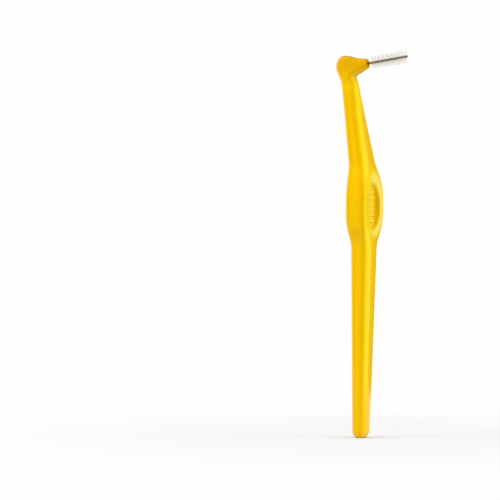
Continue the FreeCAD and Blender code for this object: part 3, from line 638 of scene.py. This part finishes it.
twist_pitch, wire_reach = 1.5, 11.0
twist_end = wire_reach - twist_radius - strand / 2
fold_pull = 4 * twist_radius
wire_frame = np.array([
    (math.cos(wire_tilt), 0, -math.sin(wire_tilt)),
    (0, 1, 0),
    (math.sin(wire_tilt), 0, math.cos(wire_tilt)),
])


def to_head(points):
    """From the wire's own axes, x out along the nose's line, to the handle's."""
    return points @ wire_frame.T + [nose_end[0], 0, nose_end[1]]


def hairpin(steps, fold_steps):
    """The wire's centre line and the way outward from its middle: a helix out, a fold whose
    start and end keep the helix's slope, and a helix back half a turn behind."""
    reach = np.linspace(-wire_embed, twist_end, steps)
    turn = 2 * np.pi * reach / twist_pitch
    radial = np.stack([0 * turn, np.cos(turn), np.sin(turn)], axis=1)
    out = np.stack([reach, 0 * reach, 0 * reach], axis=1)
    end_turn = turn[-1]
    side = twist_radius * 2 * np.pi / twist_pitch
    around = np.array([0, -math.sin(end_turn), math.cos(end_turn)])
    ahead = np.array([1.0, 0, 0])
    share = np.linspace(0, 1, fold_steps + 2)[1:-1, None]
    start = out[-1] + twist_radius * radial[-1]
    finish = out[-1] - twist_radius * radial[-1]
    start_way = fold_pull * (ahead + side * around)
    finish_way = fold_pull * (-ahead + side * around)
    fold = cubic(share, start, finish, start_way, finish_way)
    fold_out = np.cos(np.pi * share) * radial[-1] + np.sin(np.pi * share) * ahead
    path = np.concatenate([out + twist_radius * radial, fold,
                           (out - twist_radius * radial)[::-1]])
    return path, np.concatenate([radial, fold_out, -radial[::-1]])


def tube_round(path, outward, radius, sides):
    """Rings of points square to a path: each is a circle in the plane of the part of the
    outward way that is square to the path, and the way square to both."""
    ahead = np.gradient(path, axis=0)
    ahead /= np.linalg.norm(ahead, axis=1)[:, None]
    first = outward - ahead * (outward * ahead).sum(axis=1)[:, None]
    first /= np.linalg.norm(first, axis=1)[:, None]
    second = np.cross(ahead, first)
    turn = np.arange(sides) / sides * 2 * np.pi
    ring = (np.cos(turn)[None, :, None] * first[:, None, :]
            + np.sin(turn)[None, :, None] * second[:, None, :])
    return path[:, None, :] + radius * ring


dull_steel, bright_steel = (0.42, 0.40, 0.37), (0.60, 0.58, 0.55)
steel_roughness = (0.25, 0.45)
steel, nodes, links, shader, _, grain = finish_nodes(
    "drawn steel", cloud_scale=700, grain_scale=9000, scratch_scale=2500
)
tarnish = blend_colours(nodes, links, grain.outputs["Cloud"], dull_steel, bright_steel)
links.new(tarnish, shader.inputs["Base Color"])
links.new(ranged(nodes, links, grain.outputs["Scratch"], 0, 1, *steel_roughness),
          shader.inputs["Roughness"])
shader.inputs["Metallic"].default_value = 1

core_sides = 12
path, outward = hairpin(steps=330, fold_steps=12)
core_rings = tube_round(path, outward, wire_diameter / 2, core_sides)
core_quads, core_fans = closed_skin(*core_rings.shape[:2])
core_points = np.concatenate([core_rings.reshape(-1, 3), path[:1], path[-1:]])
make_piece("twisted_wire", to_head(core_points), core_quads, core_fans, steel, "wire", "wire_core")

# Wire skin
# A film of polyurethane on the wire, so that no bare metal touches a tooth. The metal shows
# through as a dark brownish grey, and near the nose a little of the handle's plastic colours it.

skin_grey = (0.12, 0.088, 0.046)
skin_pale = (0.155, 0.115, 0.062)
skin_stained = (0.32, 0.18, 0.04)
stain_length, stain_tone = 3.0, 0.9
skin_roughness = (0.42, 0.56)
coating, nodes, links, shader, place, grain = finish_nodes(
    "wire skin", cloud_scale=900, grain_scale=9000, scratch_scale=3000
)
patchy = ranged(nodes, links, grain.outputs["Cloud"], *cloud_range, 0, 1)
film = blend_colours(nodes, links, patchy, skin_grey, skin_pale)
reach_of = nodes.new("ShaderNodeSeparateXYZ")
links.new(place.outputs["Object"], reach_of.inputs["Vector"])
stain = ranged(nodes, links, reach_of.outputs["X"], nose_end[0] * MM,
               (nose_end[0] + stain_length) * MM, stain_tone, 0)
links.new(blend_colours(nodes, links, stain, film, skin_stained), shader.inputs["Base Color"])
links.new(ranged(nodes, links, grain.outputs["Grain"], *grain_range, *skin_roughness),
          shader.inputs["Roughness"])
shader.inputs["Specular IOR Level"].default_value = 0.2
shader.inputs["Specular Tint"].default_value = (1.0, 0.85, 0.6, 1)

# The skin is a tube with an outer and an inner wall, closed by a ring at each end.
skin_sides = 16
outer_rings = tube_round(path, outward, strand / 2, skin_sides)
inner_rings = tube_round(path, outward, wire_diameter / 2, skin_sides)
outer_place = np.arange(len(path) * skin_sides).reshape(-1, skin_sides)
outer_beside = np.roll(outer_place, -1, axis=1)
inner_place, inner_beside = outer_place + outer_place.size, outer_beside + outer_place.size
wall = [
    (outer_place[:-1], outer_beside[:-1], outer_beside[1:], outer_place[1:]),
    (inner_beside[:-1], inner_place[:-1], inner_place[1:], inner_beside[1:]),
    (outer_beside[:1], outer_place[:1], inner_place[:1], inner_beside[:1]),
    (outer_place[-1:], outer_beside[-1:], inner_beside[-1:], inner_place[-1:]),
]
wall_quads = np.concatenate([np.stack(side, axis=-1).reshape(-1, 4) for side in wall])
wall_points = np.concatenate([outer_rings.reshape(-1, 3), inner_rings.reshape(-1, 3)])
make_piece("wire_skin", to_head(wall_points), wall_quads, np.zeros((0, 3), int), coating,
           "coating", "wire_coating")

# Filaments
# Straight nylon bristles, each pinched at its middle where the two legs of the wire cross it, so
# that they stand as a helical brush. They are clear white, slightly bowed and of uneven length.

bristle_start, filament_spacing = 1.0, 0.1
bristle_base, bristle_tip = 3.3, 3.65
drawn_diameter, cut_end_share = 0.048, 0.8
turn_spread, lean_spread, bow_spread, length_spread = 0.07, 0.022, 0.035, 0.02
bristle_sides, bristle_steps = 5, 6

# They are drawn finer than the solids, so each solid's place carries several.
filaments_per_place = 4
turn_nodes = sorted(
    (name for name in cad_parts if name.startswith("filaments_turn_")),
    key=lambda name: int(name.rsplit("_", 1)[1]),
)
place_count = math.floor((twist_end - filament_spacing - bristle_start) / filament_spacing) + 1
per_turn = math.ceil(place_count / len(turn_nodes))
draw = np.random.default_rng(7)


def bristle_bundle(reach, length):
    """Filaments through the twist's middle: each a tube that tapers at its cut ends, turned and
    tipped a little at random, with its ends bowed by the square of the way from the middle."""
    count = len(reach)
    turn = 2 * np.pi * reach / twist_pitch + draw.normal(0, turn_spread, count)
    lean = draw.normal(0, lean_spread, count)
    bow = draw.normal(0, bow_spread, (count, 2))
    half = length / 2 * (1 - np.abs(draw.normal(0, length_spread, count)))
    way = np.stack([np.sin(lean), -np.sin(turn) * np.cos(lean), np.cos(turn) * np.cos(lean)], 1)
    first = np.stack([np.cos(lean), np.sin(turn) * np.sin(lean), -np.cos(turn) * np.sin(lean)], 1)
    second = np.cross(way, first)
    along = np.linspace(-1, 1, bristle_steps + 1)
    taper = np.where(abs(along) < 1, 1, cut_end_share)
    spin = np.arange(bristle_sides) / bristle_sides * 2 * np.pi
    line = (way[:, None, :] * (along[None, :] * half[:, None])[:, :, None]
            + first[:, None, :] * (bow[:, :1] * along**2)[:, :, None]
            + second[:, None, :] * (bow[:, 1:] * along**2)[:, :, None])
    ring = (first[:, None, :] * np.cos(spin)[None, :, None]
            + second[:, None, :] * np.sin(spin)[None, :, None])
    rings = line[:, :, None, :] + (drawn_diameter / 2 * taper)[None, :, None, None] * ring[:, None]
    out = np.stack([reach, 0 * reach, 0 * reach], 1)
    return rings + out[:, None, None, :], line[:, [0, -1], :] + out[:, None, :]


nylon_cream, nylon_pale = (0.82, 0.75, 0.60), (0.88, 0.82, 0.68)
nylon_roughness = (0.25, 0.4)
nylon, nodes, links, shader, _, grain = finish_nodes(
    "clear nylon", cloud_scale=500, grain_scale=6000, scratch_scale=2000
)
links.new(blend_colours(nodes, links, grain.outputs["Cloud"], nylon_cream, nylon_pale),
          shader.inputs["Base Color"])
links.new(ranged(nodes, links, grain.outputs["Grain"], *grain_range, *nylon_roughness),
          shader.inputs["Roughness"])
shader.inputs["Alpha"].default_value = 0.3
shader.inputs["Specular IOR Level"].default_value = 0.15

bristle_quads, bristle_fans = closed_skin(bristle_steps + 1, bristle_sides)
ring_points = (bristle_steps + 1) * bristle_sides
for which, node in enumerate(turn_nodes):
    places = np.arange(which * per_turn, min((which + 1) * per_turn, place_count))
    fine_places = (places[:, None] + np.arange(filaments_per_place) / filaments_per_place).ravel()
    fine_places = np.minimum(fine_places, place_count - 1)
    share = np.clip(fine_places / (place_count - 1), 0, 1)
    rings, ends = bristle_bundle(bristle_start + fine_places * filament_spacing,
                                 bristle_base + (bristle_tip - bristle_base) * share)
    count = len(fine_places)
    points = np.concatenate([rings.reshape(count, -1, 3), ends], axis=1).reshape(-1, 3)
    shift = (np.arange(count) * (ring_points + 2))[:, None, None]
    quads = (bristle_quads[None] + shift).reshape(-1, 4)
    fans = (bristle_fans[None] + shift).reshape(-1, 3)
    make_piece(f"bristles_turn_{which + 1}", to_head(points), quads, fans, nylon, "filament", node)

# Floor
# A plain white sheet that the brush stands on. It keeps the brush's soft shadow and fades into
# the white behind it. Its sizes are in metres.


def mirror_or_camera(nodes, links, ray):
    """1 for what the camera sees, directly, in gloss or through something clear."""
    value = ray.outputs["Is Camera Ray"]
    for name in ("Is Glossy Ray", "Is Transmission Ray"):
        value = math_node(nodes, links, "MAXIMUM", value, ray.outputs[name])
    return value


floor_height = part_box("handle")[0].z
floor_half = 0.13
fade_near, fade_far, near_white = 0.02, 0.12, 0.62
crowd_reach, crowd_power = 0.01, 3
paper_lit, paper_seen = (0.78, 0.78, 0.78), (0.79, 0.80, 0.81)
backdrop_white = (0.99, 0.99, 0.99)
floor_mesh = bpy.data.meshes.new("floor")
floor_mesh.from_pydata(
    [(-floor_half, -floor_half, floor_height), (floor_half, -floor_half, floor_height),
     (floor_half, floor_half, floor_height), (-floor_half, floor_half, floor_height)],
    [], [(0, 1, 2, 3)],
)
floor = bpy.data.objects.new("floor", floor_mesh)
bpy.context.scene.collection.objects.link(floor)
paper = bpy.data.materials.new("white paper")
paper.use_nodes = True
nodes, links = paper.node_tree.nodes, paper.node_tree.links
shader = nodes["Principled BSDF"]
ray = nodes.new("ShaderNodeLightPath")
links.new(blend_colours(nodes, links, ray.outputs["Is Camera Ray"], paper_lit, paper_seen),
          shader.inputs["Base Color"])
shader.inputs["Roughness"].default_value = 0.9
shader.inputs["Specular IOR Level"].default_value = 0.1

# How white it glows: less near the brush, and less still where the brush crowds the sheet.
place = nodes.new("ShaderNodeTexCoord")
flat = nodes.new("ShaderNodeVectorMath")
flat.operation = "MULTIPLY"
flat.inputs[1].default_value = (1, 1, 0)
links.new(place.outputs["Object"], flat.inputs[0])
distance = nodes.new("ShaderNodeVectorMath")
distance.operation = "LENGTH"
links.new(flat.outputs["Vector"], distance.inputs[0])
fade = nodes.new("ShaderNodeMapRange")
fade.interpolation_type = "SMOOTHSTEP"
fade.inputs["From Min"].default_value = fade_near
fade.inputs["From Max"].default_value = fade_far
fade.inputs["To Min"].default_value = near_white
links.new(distance.outputs["Value"], fade.inputs["Value"])
close_by = nodes.new("ShaderNodeAmbientOcclusion")
close_by.inputs["Distance"].default_value = crowd_reach
crowded = math_node(nodes, links, "POWER", close_by.outputs["AO"], crowd_power)
bare = math_node(nodes, links, "MULTIPLY", crowded, fade.outputs["Result"])
seen = math_node(nodes, links, "MULTIPLY", bare, mirror_or_camera(nodes, links, ray))
white = nodes.new("ShaderNodeEmission")
white.inputs["Color"].default_value = (*backdrop_white, 1)
mix = nodes.new("ShaderNodeMixShader")
links.new(seen, mix.inputs["Fac"])
links.new(shader.outputs["BSDF"], mix.inputs[1])
links.new(white.outputs["Emission"], mix.inputs[2])
links.new(mix.outputs["Shader"], nodes["Material Output"].inputs["Surface"])
floor_mesh.materials.append(paper)

# Light
# An even white room, a large soft lamp at the upper left and a tall soft lamp at the right. In
# gloss alone, white sheets stand round the brush.

room_light = 0.68
world = bpy.data.worlds.new("studio")
bpy.context.scene.world = world
world.use_nodes = True
nodes, links = world.node_tree.nodes, world.node_tree.links
room = nodes["Background"]
room.inputs["Color"].default_value = (1, 1, 1, 1)
room.inputs["Strength"].default_value = room_light
backdrop = nodes.new("ShaderNodeBackground")
ray = nodes.new("ShaderNodeLightPath")

# The sheets stand upright, with dark gaps between them. Each stop gives a direction in degrees
# round from the brush's right side, and its brightness as a share of the sheets' glow.
sheet_glow = 4.0
sheets = [(-180, 0.01), (-150, 0.01), (-130, 0.3), (-70, 0.3), (-50, 0.01), (60, 0.01),
          (92, 0.05), (102, 0.3), (114, 0.3), (121, 0.15), (129, 0.2), (143, 0.2), (149, 0.02),
          (180, 0.01)]
way_out = nodes.new("ShaderNodeTexCoord")
parts = nodes.new("ShaderNodeSeparateXYZ")
links.new(way_out.outputs["Generated"], parts.inputs["Vector"])
away = math_node(nodes, links, "MULTIPLY", parts.outputs["Y"], -1)
around = math_node(nodes, links, "ARCTAN2", parts.outputs["X"], away)
ramp = nodes.new("ShaderNodeValToRGB")
stops = ramp.color_ramp.elements
while len(stops) < len(sheets):
    stops.new(0.5)
for stop, (degrees, _) in zip(stops, sheets):
    stop.position = (degrees + 180) / 360
for stop, (_, brightness) in zip(stops, sheets):
    stop.color = (brightness, brightness, brightness, 1)
links.new(ranged(nodes, links, around, -math.pi, math.pi, 0, 1), ramp.inputs["Fac"])
glow = ranged(nodes, links, ramp.outputs["Color"], 0, 1, 0, sheet_glow)
mirrored = nodes.new("ShaderNodeMath")
mirrored.operation = "SUBTRACT"
mirrored.use_clamp = True
links.new(ray.outputs["Is Glossy Ray"], mirrored.inputs[0])
links.new(ray.outputs["Is Transmission Ray"], mirrored.inputs[1])
links.new(blend_colours(nodes, links, mirrored.outputs["Value"], backdrop_white, glow),
          backdrop.inputs["Color"])
world.cycles.sampling_method = "NONE"
mix = nodes.new("ShaderNodeMixShader")
links.new(mirror_or_camera(nodes, links, ray), mix.inputs["Fac"])
links.new(room.outputs["Background"], mix.inputs[1])
links.new(backdrop.outputs["Background"], mix.inputs[2])
links.new(mix.outputs["Shader"], nodes["World Output"].inputs["Surface"])


def soft_lamp(name, azimuth, elevation, distance, size, power):
    """A rectangular lamp that faces the grip from an azimuth and elevation in degrees, where
    azimuth 0 is in front of the brush's right side and 90 in front of the thumb recess."""
    a, e = math.radians(azimuth), math.radians(elevation)
    back = np.array([math.sin(a) * math.cos(e), -math.cos(a) * math.cos(e), math.sin(e)])
    lamp = bpy.data.lights.new(name, "AREA")
    lamp.shape = "RECTANGLE"
    lamp.size, lamp.size_y = size
    lamp.energy = power
    holder = bpy.data.objects.new(name, lamp)
    holder.location = back * distance
    holder.rotation_euler = (math.pi / 2 - e, 0, a)
    holder.visible_glossy = False
    holder.visible_camera = False
    bpy.context.scene.collection.objects.link(holder)


soft_lamp("left_lamp", azimuth=-45, elevation=32, distance=0.6, size=(0.35, 0.35), power=1.98)
soft_lamp("right_lamp", azimuth=98, elevation=20, distance=0.5, size=(0.2, 0.4), power=1.05)

# Camera
# A long lens at the height of the grip, a little above the horizon, that sees the brush's right
# side broadly and its front at a slant. A pixel is given its size at the grip, and the grip's
# middle falls on the pixel that is named for it.

view_azimuth, view_elevation = math.radians(23.5), math.radians(1.5)
pixel = 0.252 * MM
image_pixels = 500
grip_pixel = (364.5, 206.3)
camera_distance = 1.2
back = np.array([math.sin(view_azimuth) * math.cos(view_elevation),
                 -math.cos(view_azimuth) * math.cos(view_elevation), math.sin(view_elevation)])
right = np.array([math.cos(view_azimuth), math.sin(view_azimuth), 0])
up = np.cross(back, right)
aim = ((image_pixels / 2 - grip_pixel[0]) * pixel * right
       + (grip_pixel[1] - image_pixels / 2) * pixel * up)
eye = back * camera_distance
depth = np.linalg.norm(eye - aim)
cosine = camera_distance / depth
camera_data = bpy.data.cameras.new("camera")
camera_data.lens = camera_data.sensor_width * camera_distance * cosine / (image_pixels * pixel)
camera = bpy.data.objects.new("camera", camera_data)
look = (eye - aim) / depth
side = np.cross([0, 0, 1], look)
side /= np.linalg.norm(side)
top = np.cross(look, side)
camera.matrix_world = Matrix([*zip(side, top, look, eye), (0, 0, 0, 1)])
bpy.context.scene.collection.objects.link(camera)
bpy.context.scene.camera = camera
bpy.context.scene.view_settings.view_transform = "Standard"
